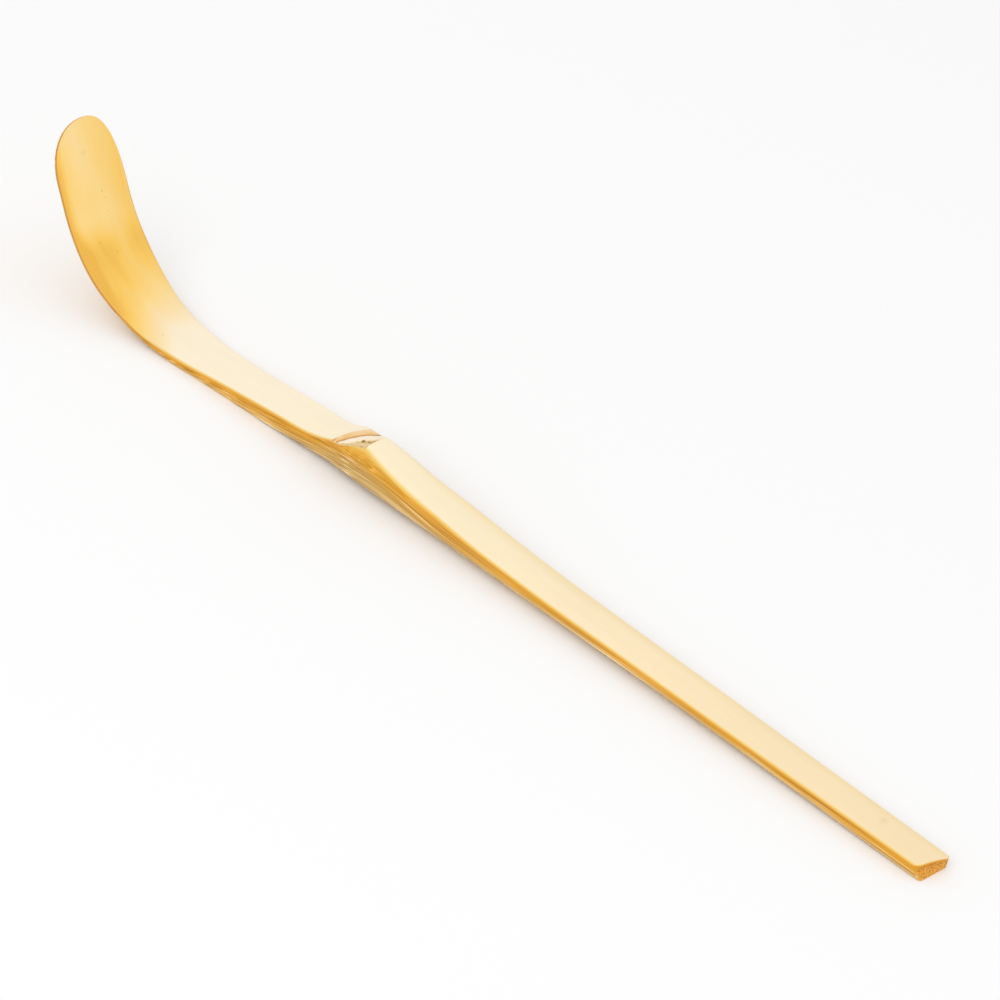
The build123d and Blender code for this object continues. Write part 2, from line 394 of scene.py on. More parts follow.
def addNode(material, kind, inputs=None, stops=(), **settings):
    node = material.node_tree.nodes.new(kind)
    for name, value in settings.items():
        setattr(node, name, value)
    for socket, value in (inputs or {}).items():
        if isinstance(value, bpy.types.NodeSocket):
            material.node_tree.links.new(value, node.inputs[socket])
        else:
            node.inputs[socket].default_value = value
    for i, (place, code) in enumerate(stops):
        element = node.color_ramp.elements[i] if i < 2 else node.color_ramp.elements.new(place)
        element.position = place
        element.color = hexColour(code)
    return node


bambooIor = 1.53  # of cellulose, and alike in every layer


def newMaterial(name):
    material = bpy.data.materials.new(name)
    material.use_nodes = True
    return material, material.node_tree.nodes["Principled BSDF"]


def patternScale(size):
    # from the length of a pattern along the fibres and its width across them, in millimetres
    length, width = size
    return 1 / length, 1 / width, 1 / width


# Where the rind is pared away at an edge, cream gives way to yellow and then to the gold of dense fibre
paredTones = ((0.12, "#f9e0a0"), (0.38, "#f4ca66"), (0.66, "#ecb03c"), (1.0, "#e29e28"))

# Bamboo rind: the waxy outer skin, scraped smooth. Pale and satin, toasted golden where it was bent, and gold
# to brown on its cut edges, where the dense fibre under the wax shows
rindLook = {
    # cream along the handle, palest at the neck: the rind's golden cream washed towards white by a painted
    # highlight
    "along": ((0.0, "#f9e0b2"), (0.3, "#fde7be"), (0.58, "#feeecb"), (0.68, "#fef0d3")),
    "streak": (25.0, 0.3),  # as wide as the bundles of fibre underneath
    "streakDetail": 3.0,
    "cloud": (14.0, 3.0),
    "cloudDetail": 2.0,
    "noiseSpan": (0.6, 1.4),
    # far side: partly the rind's own tone, partly painted shade
    "valueRange": (0.97, 1.02),
    "farToneAndShade": "#f1d488",
    "farShare": 0.4,
    "farPlace": (-0.6, -3.0),
    "farEnd": (nodeAlong - 10, nodeAlong),
    "toastTones": (
        (0.0, "#fef0d3"),
        (0.25, "#fde2ac"),
        (0.48, "#fed986"),
        (0.78, "#fbc957"),
        (1.0, "#efb740"),
    ),
    "toastPlace": (tightAlong - 3.5, tightAlong + 16.5),
    "toastLead": 1.0,
    "toastGrowth": 0.045,
    "toastLeast": 0.8,
    "sheenPlace": (tightAlong + 16.0, tightAlong + 22.0),
    "sheenShare": (0.15, 0.52, 0.1),  # painted sheen paling the toast: on the far side, inside the near rim, and on that rim
    "sheenAcross": (-5.0, 2.5),
    "sheenRim": (4.4, 5.8),
    "toastPatch": 0.42,
    "patchSpan": (0.25, 0.75),
    "toastShown": 0.15,
    "mark": "#b9852f",
    "marks": (  # places from the node, places across, radii and strengths
        (69.3, -0.76, 0.2, 0.7),
        (68.2, -1.02, 0.16, 0.55),
        (66.2, -0.92, 0.15, 0.45),
        (62.2, 2.28, 0.22, 0.6),
        (60.0, 0.03, 0.2, 0.6),
        (44.6, 2.22, 0.18, 0.6),
        (75.6, 0.84, 0.6, 0.12),
        (-94.8, -0.5, 1.0, 0.16),
    ),
    "edgeTone": "#c8862a",
    "edgeShare": 0.85,
    "edgePlace": (0.02, 0.25),
    "roughness": 0.34,
}


def bambooRind(look):
    material, shader = newMaterial("bambooRind")
    grain = addNode(material, "ShaderNodeAttribute", attribute_name="grain").outputs["Vector"]
    parts = addNode(material, "ShaderNodeSeparateXYZ", {"Vector": grain}).outputs
    share = addNode(material, "ShaderNodeMapRange", {"Value": parts["X"], "From Max": tipAlong})
    waxy = addNode(material, "ShaderNodeValToRGB", {"Fac": share.outputs["Result"]}, look["along"])
    fine = addNode(material, "ShaderNodeMapping", {"Vector": grain, "Scale": patternScale(look["streak"])})
    streak = addNode(
        material,
        "ShaderNodeTexNoise",
        {"Vector": fine.outputs["Vector"], "Scale": 1.0, "Detail": look["streakDetail"]},
    )
    wide = addNode(material, "ShaderNodeMapping", {"Vector": grain, "Scale": patternScale(look["cloud"])})
    cloud = addNode(
        material,
        "ShaderNodeTexNoise",
        {"Vector": wide.outputs["Vector"], "Scale": 1.0, "Detail": look["cloudDetail"]},
    )
    both = addNode(
        material, "ShaderNodeMath", {0: streak.outputs["Fac"], 1: cloud.outputs["Fac"]}, operation="ADD"
    )
    noiseLow, noiseHigh = look["noiseSpan"]
    dimmest, brightest = look["valueRange"]
    value = addNode(
        material,
        "ShaderNodeMapRange",
        {
            "Value": both.outputs["Value"],
            "From Min": noiseLow,
            "From Max": noiseHigh,
            "To Min": dimmest,
            "To Max": brightest,
        },
    )
    # the far side of the handle is a little yellower: partly the rind's own tone, partly painted shade where
    # the crown turns away from the lamp
    farStart, farFull = look["farPlace"]
    far = addNode(
        material,
        "ShaderNodeMapRange",
        {"Value": parts["Y"], "From Min": farStart, "From Max": farFull, "To Max": look["farShare"]},
        interpolation_type="SMOOTHSTEP",
    )
    farLast, farGone = look["farEnd"]
    handle = addNode(
        material,
        "ShaderNodeMapRange",
        {"Value": parts["X"], "From Min": farLast, "From Max": farGone, "To Min": 1.0, "To Max": 0.0},
    )
    yellow = addNode(
        material,
        "ShaderNodeMath",
        {0: far.outputs["Result"], 1: handle.outputs["Result"]},
        operation="MULTIPLY",
    )
    farShadedColour = addNode(
        material,
        "ShaderNodeMix",
        {"Factor": yellow.outputs["Value"], "A": waxy.outputs["Color"], "B": hexColour(look["farToneAndShade"])},
        data_type="RGBA",
    )
    # toast rises along the bend, sooner and deeper on the near side, and towards the tip a painted sheen
    # pales it
    near = addNode(material, "ShaderNodeMath", {0: parts["Y"], 1: 0.0}, operation="MAXIMUM").outputs["Value"]
    led = addNode(
        material, "ShaderNodeMath", {0: near, 1: look["toastLead"], 2: parts["X"]}, operation="MULTIPLY_ADD"
    )
    toastStart, toastFull = look["toastPlace"]
    rise = addNode(
        material,
        "ShaderNodeMapRange",
        {"Value": led.outputs["Value"], "From Min": toastStart, "From Max": toastFull},
        interpolation_type="SMOOTHSTEP",
    )
    peak = addNode(
        material,
        "ShaderNodeMath",
        {0: near, 1: look["toastGrowth"], 2: look["toastLeast"]},
        operation="MULTIPLY_ADD",
    )
    fadeStart, fadeFull = look["sheenPlace"]
    # painted sheen: the toast is paled towards the tip
    sheen = addNode(
        material,
        "ShaderNodeMapRange",
        {"Value": parts["X"], "From Min": fadeStart, "From Max": fadeFull},
        interpolation_type="SMOOTHSTEP",
    )
    farShare, midShare, rimShare = look["sheenShare"]
    acrossStart, acrossFull = look["sheenAcross"]
    across = addNode(
        material,
        "ShaderNodeMapRange",
        {
            "Value": parts["Y"],
            "From Min": acrossStart,
            "From Max": acrossFull,
            "To Min": farShare,
            "To Max": midShare,
        },
    )
    rimStart, rimFull = look["sheenRim"]
    rim = addNode(
        material,
        "ShaderNodeMapRange",
        {
            "Value": parts["Y"],
            "From Min": rimStart,
            "From Max": rimFull,
            "To Min": midShare,
            "To Max": rimShare,
        },
    )
    lesser = addNode(
        material,
        "ShaderNodeMath",
        {0: across.outputs["Result"], 1: rim.outputs["Result"]},
        operation="MINIMUM",
    )
    sheenWash = addNode(
        material,
        "ShaderNodeMath",
        {0: sheen.outputs["Result"], 1: lesser.outputs["Value"]},
        operation="MULTIPLY",
    )
    kept = addNode(material, "ShaderNodeMath", {0: 1.0, 1: sheenWash.outputs["Value"]}, operation="SUBTRACT")
    patchLow, patchHigh = look["patchSpan"]
    patch = addNode(
        material,
        "ShaderNodeMapRange",
        {
            "Value": cloud.outputs["Fac"],
            "From Min": patchLow,
            "From Max": patchHigh,
            "To Min": 1 - look["toastPatch"] / 2,
            "To Max": 1 + look["toastPatch"] / 2,
        },
    )
    toast = rise.outputs["Result"]
    for factor in (peak.outputs["Value"], kept.outputs["Value"], patch.outputs["Result"]):
        product = addNode(material, "ShaderNodeMath", {0: toast, 1: factor}, operation="MULTIPLY")
        toast = product.outputs["Value"]
    toasted = addNode(material, "ShaderNodeValToRGB", {"Fac": toast}, look["toastTones"])
    shown = addNode(material, "ShaderNodeMapRange", {"Value": toast, "From Max": look["toastShown"]})
    heated = addNode(
        material,
        "ShaderNodeMix",
        {"Factor": shown.outputs["Result"], "A": farShadedColour.outputs["Result"], "B": toasted.outputs["Color"]},
        data_type="RGBA",
    )
    varied = addNode(
        material,
        "ShaderNodeHueSaturation",
        {"Color": heated.outputs["Result"], "Value": value.outputs["Result"]},
    )
    # a few specks and one smudge, each at its place along and across the strip
    specks = 0.0
    for place, aside, radius, strength in look["marks"]:
        away = addNode(
            material,
            "ShaderNodeVectorMath",
            {0: grain, 1: (nodeAlong + place, aside, 0.0)},
            operation="DISTANCE",
        )
        speck = addNode(
            material,
            "ShaderNodeMapRange",
            {"Value": away.outputs["Value"], "From Max": radius, "To Min": strength, "To Max": 0.0},
            interpolation_type="SMOOTHSTEP",
        )
        most = addNode(
            material, "ShaderNodeMath", {0: specks, 1: speck.outputs["Result"]}, operation="MAXIMUM"
        )
        specks = most.outputs["Value"]
    specked = addNode(
        material,
        "ShaderNodeMix",
        {"Factor": specks, "A": varied.outputs["Color"], "B": hexColour(look["mark"])},
        data_type="RGBA",
    )
    # cut edges: gold along the handle, browned by the heat along the bowl
    pared = addNode(material, "ShaderNodeAttribute", attribute_name="pared").outputs["Fac"]
    golden = addNode(material, "ShaderNodeValToRGB", {"Fac": pared}, paredTones)
    browned = addNode(
        material, "ShaderNodeMath", {0: rise.outputs["Result"], 1: look["edgeShare"]}, operation="MULTIPLY"
    )
    edge = addNode(
        material,
        "ShaderNodeMix",
        {"Factor": browned.outputs["Value"], "A": golden.outputs["Color"], "B": hexColour(look["edgeTone"])},
        data_type="RGBA",
    )
    edgeStart, edgeFull = look["edgePlace"]
    cut = addNode(
        material,
        "ShaderNodeMapRange",
        {"Value": pared, "From Min": edgeStart, "From Max": edgeFull},
        interpolation_type="SMOOTHSTEP",
    )
    skin = addNode(
        material,
        "ShaderNodeMix",
        {"Factor": cut.outputs["Result"], "A": specked.outputs["Result"], "B": edge.outputs["Result"]},
        data_type="RGBA",
    )
    material.node_tree.links.new(skin.outputs["Result"], shader.inputs["Base Color"])
    shader.inputs["Roughness"].default_value = look["roughness"]
    shader.inputs["IOR"].default_value = bambooIor
    return material


# Bamboo fibre: the pared sides and back. Gold just under the rind and tan below it, with long brown lines
# where the bundles of fibre are cut along their length
fibreLook = {
    "depths": ((0.0, "#e9a41a"), (0.4, "#e9a526"), (0.65, "#ecb34c"), (0.85, "#eec076"), (1.0, "#f3cd92")),
    "bundle": "#96621f",
    "bundleShare": 0.8,
    "bundleSize": (50.0, 0.26),
    "fibreSize": (32.0, 0.15),  # single fibres are finer, and are drawn as coarse as this to show
    "fibreRange": (0.62, 1.1),
    "pale": "#f8e8bd",
    "paleShare": 0.85,
    "farShare": 0.75,
    # painted shade: by the node the lower side dulls to this greener tan
    "nodeShadeTone": "#d0ab66",
    "nodeShadeShare": 0.6,
    "roughness": 0.6,
    "specular": 0.25,
    "relief": 0.05,
    "reliefStrength": 0.35,
}

# Where the same fibre is cut across, at the end of the handle, its bundles show as dark dots
endGrainLook = {
    "depths": ((0.0, "#cf8420"), (0.3, "#de952f"), (0.6, "#eaa238"), (1.0, "#edac48")),
    "bundle": "#85501a",
    "bundleShare": 0.6,
    "bundleSize": (70.0, 0.34),
    "fibreSize": (3.0, 0.3),  # coarser than the fibres, to show
    "fibreRange": (0.86, 1.1),
    "pale": "#f6d89a",
    "paleShare": 0.5,
    "farShare": 1.0,
    "nodeShadeTone": "#cda45a",
    "nodeShadeShare": 0.0,
}

# Limits that both cuts share: of the patterns, of distances from the node in millimetres, and of depths as
# shares of the bevel and of the thickness
fibreLines = {
    "bundleCell": (0.2, 0.45),
    "strandSpan": (0.36, 0.64),
    "strandDetail": 3.0,
    "paleSpan": (0.56, 0.68),
    "strongNear": (6.0, 28.0),
    "bevelGain": 0.15,
    "bevelSpan": (0.4, 1.2),
    "shadeNear": (2.0, 16.0),
    "lowerSpan": (0.15, 0.6),
    "upperShare": 0.15,
}


def fibreColour(material, look):
    grain = addNode(material, "ShaderNodeAttribute", attribute_name="grain").outputs["Vector"]
    parts = addNode(material, "ShaderNodeSeparateXYZ", {"Vector": grain}).outputs
    layer = addNode(material, "ShaderNodeAttribute", attribute_name="layer").outputs["Fac"]
    swept = addNode(
        material, "ShaderNodeCombineXYZ", {"X": parts["X"], "Y": parts["Y"], "Z": layer}
    ).outputs["Vector"]
    inner = addNode(material, "ShaderNodeAttribute", attribute_name="inner").outputs["Fac"]
    depths = addNode(material, "ShaderNodeValToRGB", {"Fac": inner}, look["depths"])
    long = addNode(
        material, "ShaderNodeMapping", {"Vector": swept, "Scale": patternScale(look["bundleSize"])}
    )
    cells = addNode(material, "ShaderNodeTexVoronoi", {"Vector": long.outputs["Vector"], "Scale": 1.0})
    cellCore, cellEdge = fibreLines["bundleCell"]
    bundle = addNode(
        material,
        "ShaderNodeMapRange",
        {
            "Value": cells.outputs["Distance"],
            "From Min": cellCore,
            "From Max": cellEdge,
            "To Min": look["bundleShare"],
            "To Max": 0.0,
        },
        interpolation_type="SMOOTHSTEP",
    )
    # lines are strongest close to the node, and the bevel is dense and even almost to its lower edge
    pared = addNode(material, "ShaderNodeAttribute", attribute_name="pared").outputs["Fac"]
    edge = addNode(material, "ShaderNodeValToRGB", {"Fac": pared}, paredTones)
    away = addNode(material, "ShaderNodeMath", {0: parts["X"], 1: nodeAlong}, operation="SUBTRACT")
    apart = addNode(
        material, "ShaderNodeMath", {0: away.outputs["Value"]}, operation="ABSOLUTE"
    ).outputs["Value"]
    closest, farthest = fibreLines["strongNear"]
    close = addNode(
        material,
        "ShaderNodeMapRange",
        {"Value": apart, "From Min": closest, "From Max": farthest, "To Min": 1.0, "To Max": 0.0},
        interpolation_type="SMOOTHSTEP",
    ).outputs["Result"]
    strong = addNode(
        material, "ShaderNodeMapRange", {"Value": close, "To Min": look["farShare"], "To Max": 1.0}
    )
    deeper = addNode(
        material, "ShaderNodeMath", {0: close, 1: fibreLines["bevelGain"], 2: pared}, operation="MULTIPLY_ADD"
    )
    bevelStart, bevelFull = fibreLines["bevelSpan"]
    below = addNode(
        material,
        "ShaderNodeMapRange",
        {"Value": deeper.outputs["Value"], "From Min": bevelStart, "From Max": bevelFull},
        interpolation_type="SMOOTHSTEP",
    ).outputs["Result"]
    body = addNode(
        material,
        "ShaderNodeMix",
        {"Factor": below, "A": edge.outputs["Color"], "B": depths.outputs["Color"]},
        data_type="RGBA",
    )
    shown = addNode(
        material, "ShaderNodeMath", {0: strong.outputs["Result"], 1: below}, operation="MULTIPLY"
    ).outputs["Value"]
    # by the node the lower part of the side is darkened with painted shade of a duller, greener tan, and most
    # of the pale strands are there
    toneClosest, toneFarthest = fibreLines["shadeNear"]
    dull = addNode(
        material,
        "ShaderNodeMapRange",
        {
            "Value": apart,
            "From Min": toneClosest,
            "From Max": toneFarthest,
            "To Min": look["nodeShadeShare"],
            "To Max": 0.0,
        },
        interpolation_type="SMOOTHSTEP",
    )
    lowerStart, lowerFull = fibreLines["lowerSpan"]
    lower = addNode(
        material,
        "ShaderNodeMapRange",
        {"Value": inner, "From Min": lowerStart, "From Max": lowerFull, "To Min": fibreLines["upperShare"]},
        interpolation_type="SMOOTHSTEP",
    ).outputs["Result"]
    lowerNodeShading = addNode(material, "ShaderNodeMath", {0: dull.outputs["Result"], 1: lower}, operation="MULTIPLY")
    nodeShaded = addNode(
        material,
        "ShaderNodeMix",
        {"Factor": lowerNodeShading.outputs["Value"], "A": body.outputs["Result"], "B": hexColour(look["nodeShadeTone"])},
        data_type="RGBA",
    )
    fine = addNode(material, "ShaderNodeMapping", {"Vector": swept, "Scale": patternScale(look["fibreSize"])})
    strand = addNode(
        material,
        "ShaderNodeTexNoise",
        {"Vector": fine.outputs["Vector"], "Scale": 1.0, "Detail": fibreLines["strandDetail"]},
    ).outputs["Fac"]
    strandLow, strandHigh = fibreLines["strandSpan"]
    dimmest, brightest = look["fibreRange"]
    value = addNode(
        material,
        "ShaderNodeMapRange",
        {
            "Value": strand,
            "From Min": strandLow,
            "From Max": strandHigh,
            "To Min": dimmest,
            "To Max": brightest,
        },
    )
    shaded = addNode(
        material,
        "ShaderNodeHueSaturation",
        {"Color": nodeShaded.outputs["Result"], "Value": value.outputs["Result"], "Fac": shown},
    )
    paleLow, paleHigh = fibreLines["paleSpan"]
    light = addNode(
        material,
        "ShaderNodeMapRange",
        {"Value": strand, "From Min": paleLow, "From Max": paleHigh, "To Max": look["paleShare"]},
        interpolation_type="SMOOTHSTEP",
    )
    lightShown = addNode(
        material, "ShaderNodeMath", {0: light.outputs["Result"], 1: shown}, operation="MULTIPLY"
    )
    paler = addNode(
        material, "ShaderNodeMath", {0: lightShown.outputs["Value"], 1: lower}, operation="MULTIPLY"
    )
    lit = addNode(
        material,
        "ShaderNodeMix",
        {"Factor": paler.outputs["Value"], "A": shaded.outputs["Color"], "B": hexColour(look["pale"])},
        data_type="RGBA",
    )
    dark = addNode(material, "ShaderNodeMath", {0: bundle.outputs["Result"], 1: shown}, operation="MULTIPLY")
    lined = addNode(
        material,
        "ShaderNodeMix",
        {"Factor": dark.outputs["Value"], "A": lit.outputs["Result"], "B": hexColour(look["bundle"])},
        data_type="RGBA",
    )
    return lined.outputs["Result"], strand


def bambooFibre(sideLook, endLook):
    material, shader = newMaterial("bambooFibre")
    side, strand = fibreColour(material, sideLook)
    end, _ = fibreColour(material, endLook)
    cross = addNode(material, "ShaderNodeAttribute", attribute_name="cross").outputs["Fac"]
    colour = addNode(material, "ShaderNodeMix", {"Factor": cross, "A": side, "B": end}, data_type="RGBA")
    bump = addNode(
        material,
        "ShaderNodeBump",
        {"Height": strand, "Strength": sideLook["reliefStrength"], "Distance": sideLook["relief"] * mm},
    )
    material.node_tree.links.new(colour.outputs["Result"], shader.inputs["Base Color"])
    material.node_tree.links.new(bump.outputs["Normal"], shader.inputs["Normal"])
    shader.inputs["Roughness"].default_value = sideLook["roughness"]
    shader.inputs["IOR"].default_value = bambooIor
    shader.inputs["Specular IOR Level"].default_value = sideLook["specular"]
    return material


# Sheath scar: dry, torn tissue, off-white with a dark crevice along the edge of the rind
scarLook = {
    "tones": ((0.0, "#fff1da"), (0.25, "#fae4c0"), (0.5, "#e6c88f"), (0.8, "#b5894e"), (1.0, "#7d582a")),
    "streak": (2.5, 0.2),
    "valueRange": (0.9, 1.06),
    "roughness": 0.75,
}

# Node ridge: thick waxy skin of a deeper peach, with a brown line along each foot
ridgeLook = {
    "tones": ((0.0, "#f9d9a6"), (0.35, "#efbf7c"), (0.7, "#c68d4a"), (1.0, "#8a5826")),
    "streak": (1.2, 0.6),
    "valueRange": (0.93, 1.05),
    "roughness": 0.42,
}

# Partition stub: soft pith, a duller tan than the fibre beside it
pithLook = {
    "tones": ((0.0, "#d9b277"), (0.5, "#c99c5c"), (1.0, "#a97a3e")),
    "streak": (0.5, 0.5),
    "valueRange": (0.85, 1.1),
    "roughness": 0.8,
}

# Streaks of the tissues at the node: the limits of their noise, and its detail
tissueStreaks = {
    "span": (0.3, 0.7),
    "detail": 4.0,
}


def nodeTissue(name, look):
    material, shader = newMaterial(name)
    grain = addNode(material, "ShaderNodeAttribute", attribute_name="grain").outputs["Vector"]
    tone = addNode(material, "ShaderNodeAttribute", attribute_name="tone").outputs["Fac"]
    tones = addNode(material, "ShaderNodeValToRGB", {"Fac": tone}, look["tones"])
    fine = addNode(material, "ShaderNodeMapping", {"Vector": grain, "Scale": patternScale(look["streak"])})
    streak = addNode(
        material,
        "ShaderNodeTexNoise",
        {"Vector": fine.outputs["Vector"], "Scale": 1.0, "Detail": tissueStreaks["detail"]},
    )
    streakLow, streakHigh = tissueStreaks["span"]
    dimmest, brightest = look["valueRange"]
    value = addNode(
        material,
        "ShaderNodeMapRange",
        {
            "Value": streak.outputs["Fac"],
            "From Min": streakLow,
            "From Max": streakHigh,
            "To Min": dimmest,
            "To Max": brightest,
        },
    )
    colour = addNode(
        material,
        "ShaderNodeHueSaturation",
        {"Color": tones.outputs["Color"], "Value": value.outputs["Result"]},
    )
    material.node_tree.links.new(colour.outputs["Color"], shader.inputs["Base Color"])
    shader.inputs["Roughness"].default_value = look["roughness"]
    shader.inputs["IOR"].default_value = bambooIor
    return material


rind = bambooRind(rindLook)
fibre = bambooFibre(fibreLook, endGrainLook)
scarTissue = nodeTissue("sheathScar", scarLook)
ridgeSkin = nodeTissue("nodeRidge", ridgeLook)
pith = nodeTissue("bambooPith", pithLook)
print("materials made")

# Node ring: the oblique lines of the scar, ridge and lip, and the hollows left where the sheath tore away
ring = {
    "scarLine": (3.16, 0.55, 0.0),  # distance from the node over the middle, lean and bow
    "ridgeLine": (4.87, 0.36, 0.01),
    "lipLine": (0.9, 0.75, 0.3),  # distance from the node over the middle, lean on the near and far sides
    "hollows": (  # distances from the node, places across and radii
        (0.5, 0.0, 0.26),
        (0.7, 0.5, 0.17),
        (1.0, 1.05, 0.3),
        (1.4, 1.3, 0.2),
        (1.85, 1.5, 0.32),
    ),
    "floor": (0.38, 0.3),  # depth at the node and at the ridge
    "join": 3.0,  # where the two fleshes meet
}


def ringLine(name, y):
    middle, lean, bow = ring[name]
    return nodeAlong + middle + lean * y + bow * y * y


def ringFloor(s):
    share = min(1.0, max(0.0, (s - nodeAlong) / (ridgeAlong - nodeAlong)))
    return ring["floor"][0] + (ring["floor"][1] - ring["floor"][0]) * share


# Rind of the handle, with a slightly ragged edge at the node. A rag is a strength, a frequency and a seed
handleRind = {
    "node": "handle_rind",
    "slot": "rind",
    "cuts": (219, 23, 6),
    "rag": (0.14, 5.0, 3.0),
    "ragMiddle": 0.6,
}


def rindEnd(t):
    strength, frequency, seed = handleRind["rag"]
    return nodeAlong + strength * (noise.noise((0.0, t * frequency, seed)) + handleRind["ragMiddle"])


def pareHandleRind(u, t, f):
    depth = strip["rind"] * f * f
    start = cutEdge(t, depth)
    s = start + u * (rindEnd(t) - start)
    return s, t * sideAt(s, depth), depth, 0.0


shapePiece("handleRind", handleRind, pareHandleRind, rind)

# Rind of the neck and bowl, from the ridge's upper line to the tip
bowlRind = {
    "node": "bowl_rind",
    "slot": "rind",
    "cuts": (159, 31, 6),
}


def pareBowlRind(u, t, f):
    depth = strip["rind"] * f * f
    start = ringLine("ridgeLine", t * halfWidth(strip["ridgePlace"]))
    s = start + u * (tipEdge(t, depth) - start)
    return s, t * sideAt(s, depth), depth, 0.0


shapePiece("bowlRind", bowlRind, pareBowlRind, rind)

# Both fleshes: the share of the block that reaches down to the lower edge of the bevel, the least depth of
# that part, and how often a place is worked out, because it depends on the depth there
flesh = {
    "bevelShare": 0.4,
    "bevelLeast": 0.3,
    "rounds": 2,
}


def fleshDepth(s, y, top, f):
    x, _, _ = along(faceLine, s)
    bottom = thickness(s) - crownDrop(x, y)
    edge = min(0.5 * (top + bottom), max(bevelAt(x)[1], top + flesh["bevelLeast"]))
    if f < flesh["bevelShare"]:
        return top + (edge - top) * f / flesh["bevelShare"]
    return bottom - (bottom - edge) * ((1 - f) / (1 - flesh["bevelShare"])) ** 2


# Flesh of the handle, under its rind and then under the ring, as far as the middle of the node
handleFlesh = {
    "node": "handle_flesh",
    "slot": "flesh",
    "cuts": (219, 23, 14),
    "rindShare": 0.95,
    "stepRun": 0.02,
}


def pareHandleFlesh(u, t, f):
    share = handleFlesh["rindShare"]
    s = u / share * nodeAlong
    top = strip["rind"]
    if u > share:
        step = handleFlesh["stepRun"]
        s = nodeAlong + step + (u - share) / (1 - share) * (ring["join"] - step)
        top = ringFloor(s)
    y = t * halfWidth(along(faceLine, s)[0])
    for _ in range(flesh["rounds"]):
        depth = fleshDepth(s, y, top, f)
        if u <= share:
            start = cutEdge(t, depth)
            s = start + u / share * (nodeAlong - start)
        y = t * sideAt(s, depth)
    return s, y, depth, 0.0


shapePiece("handleFlesh", handleFlesh, pareHandleFlesh, fibre)

# Flesh of the neck and bowl, from the middle of the node to the tip
bowlFlesh = {
    "node": "bowl_flesh",
    "slot": "flesh",
    "cuts": (159, 31, 14),
}


def pareBowlFlesh(u, t, f):
    start = nodeAlong + ring["join"]
    s = start + u * (tipAlong - start)
    y = t * halfWidth(along(faceLine, s)[0])
    for _ in range(flesh["rounds"]):
        depth = fleshDepth(s, y, ringFloor(s), f)
        s = start + u * (tipEdge(t, depth) - start)
        y = t * sideAt(s, depth)
    return s, y, depth, 0.0


shapePiece("bowlFlesh", bowlFlesh, pareBowlFlesh, fibre)

# Scar of the fallen sheath: a torn pale lip under the ridge, and lower down a dull step with dark hollows
sheathScar = {
    "node": "sheath_scar",
    "slot": "sheath_scar",
    "cuts": (47, 59, 3),
    "widthPlace": 2.0,
    "gap": 0.01,
    "step": 0.22,
    "hollow": 0.14,
    "hollowRag": (0.7, 3.0, 2.0),
    "hollowSquash": 0.7,
    "hollowPower": 4,
    "lip": 0.14,
    "lipRag": (0.25, 1.7, 1.0),
    "lipRise": (-0.25, 0.2),
    "lipPower": 6,
    "torn": 0.06,
    "tornFrequency": (0.9, 4.0),
    "tornStart": 0.3,
    "paleTone": 0.06,
    "dullTone": 0.5,
    "tornTone": 0.3,
    "seamTone": 0.6,
    "seamWidth": 0.12,
    "sideTone": 0.55,
    "sideStart": 0.96,
    "underTone": 0.6,
}


def hollowAt(s, y):
    strength, frequency, seed = sheathScar["hollowRag"]
    ragged = 1 + strength * noise.noise((s * frequency, y * frequency, seed))
    deepest = 0.0
    for place, across, radius in ring["hollows"]:
        away = hypot(s - nodeAlong - place, (y - across) * sheathScar["hollowSquash"]) * ragged
        deepest = max(deepest, exp(-((away / radius) ** sheathScar["hollowPower"])))
    return deepest


def lipAt(s, y):
    middle, nearLean, farLean = ring["lipLine"]
    strength, frequency, seed = sheathScar["lipRag"]
    rag = noise.noise((y * frequency, 0.0, seed))
    start = nodeAlong + middle + (nearLean if y > 0 else farLean) * y + strength * rag
    foot, crest = sheathScar["lipRise"]
    return blendStep(start + foot, start + crest, s)


def pareScar(u, t, f):
    y = t * halfWidth(sheathScar["widthPlace"])
    start = rindEnd(t) + sheathScar["gap"]
    end = ringLine("scarLine", y)
    s = start + u * (end - start)
    lip = lipAt(s, y)
    hollow = hollowAt(s, y)
    tornAlong, tornAcross = sheathScar["tornFrequency"]
    torn = noise.noise((s * tornAlong, y * tornAcross, 0.0))
    top = sheathScar["step"] + sheathScar["hollow"] * hollow
    top -= sheathScar["lip"] * lip * (1 - u ** sheathScar["lipPower"])
    top += sheathScar["torn"] * torn * (1 - hollow) * blendStep(0.0, sheathScar["tornStart"], s - start)
    depth = top + f * (ringFloor(s) - top)
    pale = sheathScar["paleTone"] + sheathScar["tornTone"] * torn
    dull = sheathScar["dullTone"] + sheathScar["tornTone"] * torn
    seam = sheathScar["seamTone"] * exp(-(((end - s) / sheathScar["seamWidth"]) ** 2))
    side = sheathScar["sideTone"] * blendStep(sheathScar["sideStart"], 1.0, abs(t))
    shade = max(hollow, seam, dull + (pale - dull) * lip, side, f * sheathScar["underTone"])
    return s, t * sideAt(s, depth), depth, min(1.0, max(0.0, shade))


shapePiece("sheathScar", sheathScar, pareScar, scarTissue)

# Ridge of the node: a round welt with a brown line along each foot, darkest where it meets the near side, and
# its lower slope darkened by painted shade
nodeRidge = {
    "node": "node_ridge",
    "slot": "node_ridge",
    "cuts": (23, 59, 3),
    "widthPlace": 4.5,
    "foot": 0.16,
    "crest": 0.19,
    "lowTone": 0.62,
    "lowWidth": 0.24,
    "highTone": 0.34,
    "highWidth": 0.25,
    "spot": (5.85, 3.1, 0.45),  # place from the node, place across and radius
    "spotTone": 0.7,
    "patchTone": 0.1,
    "lowerSlopeShade": 0.2,
    "patchRag": (0.25, 0.8, 5.0),
}


